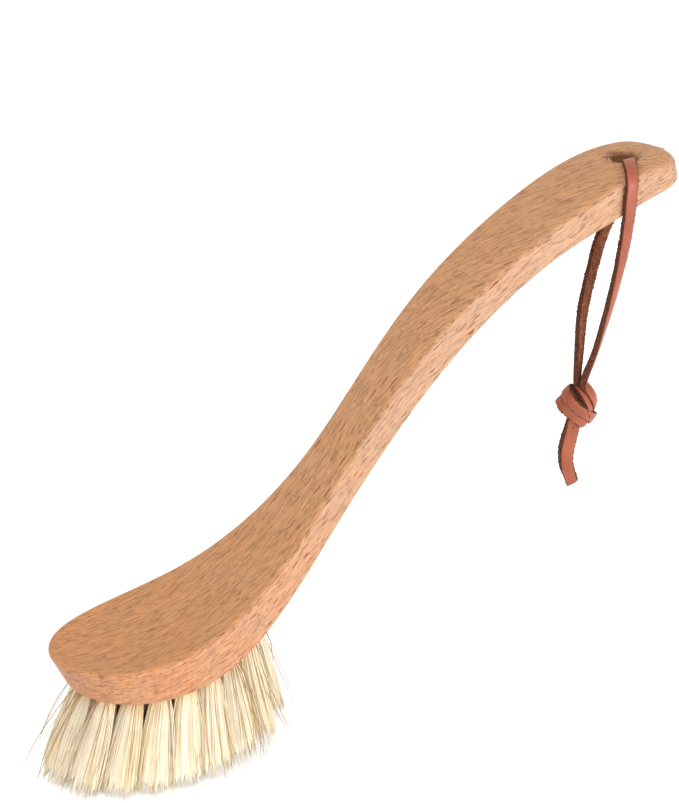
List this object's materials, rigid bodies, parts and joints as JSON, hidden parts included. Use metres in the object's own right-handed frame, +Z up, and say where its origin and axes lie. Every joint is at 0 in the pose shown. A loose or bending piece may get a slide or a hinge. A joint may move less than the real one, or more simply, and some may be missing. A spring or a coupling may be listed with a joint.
{
  "type": "dish brush",
  "caption": "Dish brush with an oval head and a bent wooden handle, natural fibre tufts and a knotted leather hanging thong.",
  "frame": {"origin": "on the ground under the middle of the wooden body and its tufts, thong left out; the brush stands on its bristle tips", "axes": "+X from the head's tip towards the hanging hole, +Z up, the body is symmetric about Y = 0 and the thong hangs on the -Y side"},
  "size_m": [0.2192, 0.0491, 0.1635],
  "materials": {
    "beech": "sanded, oiled beech",
    "plant_fibre": "dry pale plant fibre",
    "anchor_steel": "flattened galvanised wire",
    "leather": "vegetable tanned split lace"
  },
  "bodies": {
    "brush": {"beech_body": "beech", "tuft_01": "plant_fibre", "tuft_02": "plant_fibre", "tuft_03": "plant_fibre", "tuft_04": "plant_fibre", "tuft_05": "plant_fibre", "tuft_06": "plant_fibre", "tuft_07": "plant_fibre", "tuft_08": "plant_fibre", "tuft_09": "plant_fibre", "tuft_10": "plant_fibre", "tuft_11": "plant_fibre", "tuft_12": "plant_fibre", "tuft_13": "plant_fibre", "tuft_14": "plant_fibre", "tuft_15": "plant_fibre", "tuft_16": "plant_fibre", "tuft_17": "plant_fibre", "tuft_18": "plant_fibre", "tuft_19": "plant_fibre", "tuft_20": "plant_fibre", "tuft_21": "plant_fibre", "tuft_22": "plant_fibre", "tuft_23": "plant_fibre", "tuft_24": "plant_fibre", "tuft_25": "plant_fibre", "tuft_26": "plant_fibre", "anchor_01": "anchor_steel", "anchor_02": "anchor_steel", "anchor_03": "anchor_steel", "anchor_04": "anchor_steel", "anchor_05": "anchor_steel", "anchor_06": "anchor_steel", "anchor_07": "anchor_steel", "anchor_08": "anchor_steel", "anchor_09": "anchor_steel", "anchor_10": "anchor_steel", "anchor_11": "anchor_steel", "anchor_12": "anchor_steel", "anchor_13": "anchor_steel", "anchor_14": "anchor_steel", "anchor_15": "anchor_steel", "anchor_16": "anchor_steel", "anchor_17": "anchor_steel", "anchor_18": "anchor_steel", "anchor_19": "anchor_steel", "anchor_20": "anchor_steel", "anchor_21": "anchor_steel", "anchor_22": "anchor_steel", "anchor_23": "anchor_steel", "anchor_24": "anchor_steel", "anchor_25": "anchor_steel", "anchor_26": "anchor_steel", "thong_bight": "leather"},
    "thong": {"thong_front_strand": "leather", "thong_back_strand": "leather", "thong_knot": "leather", "thong_front_tail": "leather", "thong_back_tail": "leather"}
  },
  "joints": [
    {"name": "thong_swing", "type": "hinge", "parent": "brush", "child": "thong", "pos_m": [0.08631, -0.0084, 0.14676], "axis": [0.3227, 0.9457, 0.0375], "range_deg": [-90, 42]}
  ]
}
